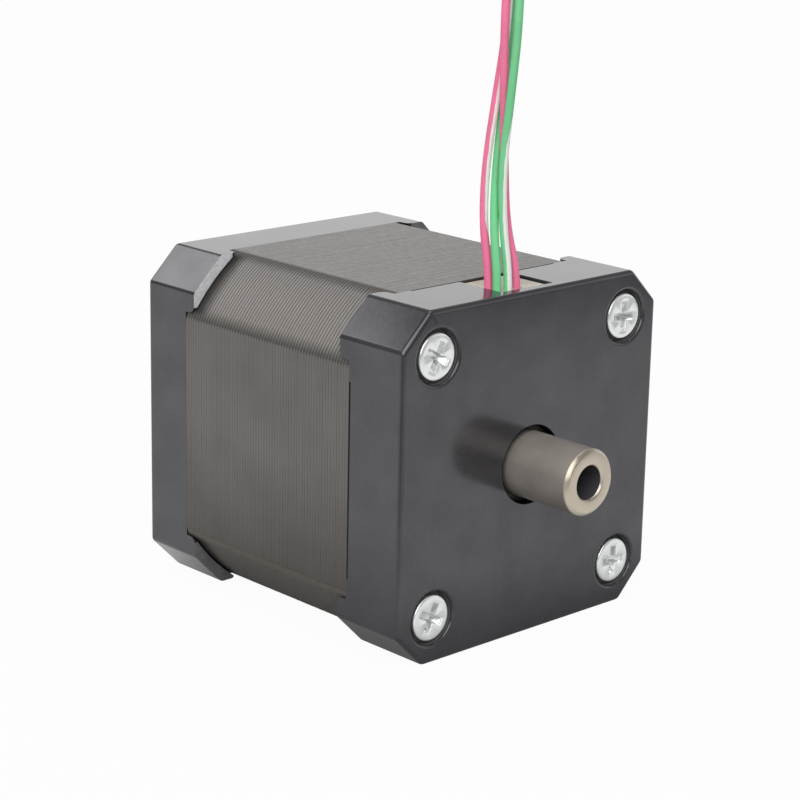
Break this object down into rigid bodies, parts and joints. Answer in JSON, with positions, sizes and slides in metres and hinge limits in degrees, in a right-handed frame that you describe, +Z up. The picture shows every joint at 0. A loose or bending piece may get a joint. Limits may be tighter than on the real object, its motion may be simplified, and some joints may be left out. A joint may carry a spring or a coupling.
{
  "type": "hollow shaft stepper motor",
  "caption": "Square-frame hybrid stepper motor with a hollow shaft through both ends, black end bells round a bare lamination stack, and flying leads from the rear bell.",
  "frame": {"origin": "centre of the front mounting face, on the shaft's axis", "axes": "+Y out of the front mounting face along the shaft, +Z up, the way the leads leave the rear bell; the motor lies on its -Z side"},
  "size_m": [0.042, 0.1446, 0.1033],
  "materials": {
    "bell_paint": "semi-gloss black paint on die-cast aluminium",
    "lamination_steel": "bare stacked sheet, satin",
    "insulator_plastic": "moulded, satin",
    "winding_copper": "enamelled copper wire, gloss",
    "exit_plastic": "moulded, satin",
    "zinc_steel": "bright zinc plate",
    "spring_steel": "blued, satin",
    "bearing_steel": "ground and polished",
    "shield_steel": "pressed sheet, satin",
    "shaft_steel": "turned",
    "rotor_steel": "ground, satin",
    "magnet_alloy": "nickel plate, satin",
    "spacer_brass": "turned",
    "red_white_insulation": "extruded, red with a white stripe",
    "green_insulation": "extruded",
    "green_white_insulation": "extruded, green with a white stripe",
    "red_insulation": "extruded",
    "coiled_leads": "extruded",
    "tie_plastic": "moulded, satin",
    "tinned_copper": "tinned"
  },
  "bodies": {
    "motor_body": {"front_end_bell": "bell_paint", "rear_end_bell": "bell_paint", "stator_core": "lamination_steel", "front_bobbin": "insulator_plastic", "rear_bobbin": "insulator_plastic", "phase_a_coils": "winding_copper", "phase_b_coils": "winding_copper", "lead_block": "exit_plastic", "tie_screws": "zinc_steel", "wave_washer": "spring_steel", "front_outer_ring": "bearing_steel", "rear_outer_ring": "bearing_steel", "front_shields": "shield_steel", "rear_shields": "shield_steel", "lead_red_white": "red_white_insulation", "lead_green": "green_insulation", "lead_green_white": "green_white_insulation", "lead_red": "red_insulation", "lead_coil": "coiled_leads", "coil_tie": "tie_plastic", "tinned_ends": "tinned_copper"},
    "rotor": {"hollow_shaft": "shaft_steel", "front_rotor_cup": "rotor_steel", "rear_rotor_cup": "rotor_steel", "rotor_magnet": "magnet_alloy", "front_spacer": "spacer_brass", "rear_spacer": "spacer_brass", "front_inner_ring": "bearing_steel", "rear_inner_ring": "bearing_steel"},
    "front_ball_set": {"front_balls": "bearing_steel", "front_cage": "shield_steel"},
    "rear_ball_set": {"rear_balls": "bearing_steel", "rear_cage": "shield_steel"}
  },
  "joints": [
    {"name": "rotor_spin", "type": "hinge", "parent": "motor_body", "child": "rotor", "pos_m": [0, 0, 0], "axis": [0, 1, 0], "continuous": true},
    {"name": "front_ball_orbit", "type": "hinge", "parent": "motor_body", "child": "front_ball_set", "pos_m": [0, -0.0028, 0], "axis": [0, 1, 0], "continuous": true},
    {"name": "rear_ball_orbit", "type": "hinge", "parent": "motor_body", "child": "rear_ball_set", "pos_m": [0, -0.0416, 0], "axis": [0, 1, 0], "continuous": true}
  ],
  "couplings": [
    {"joint": "front_ball_orbit", "follows": "rotor_spin", "ratio": 0.41667},
    {"joint": "rear_ball_orbit", "follows": "rotor_spin", "ratio": 0.41667}
  ]
}
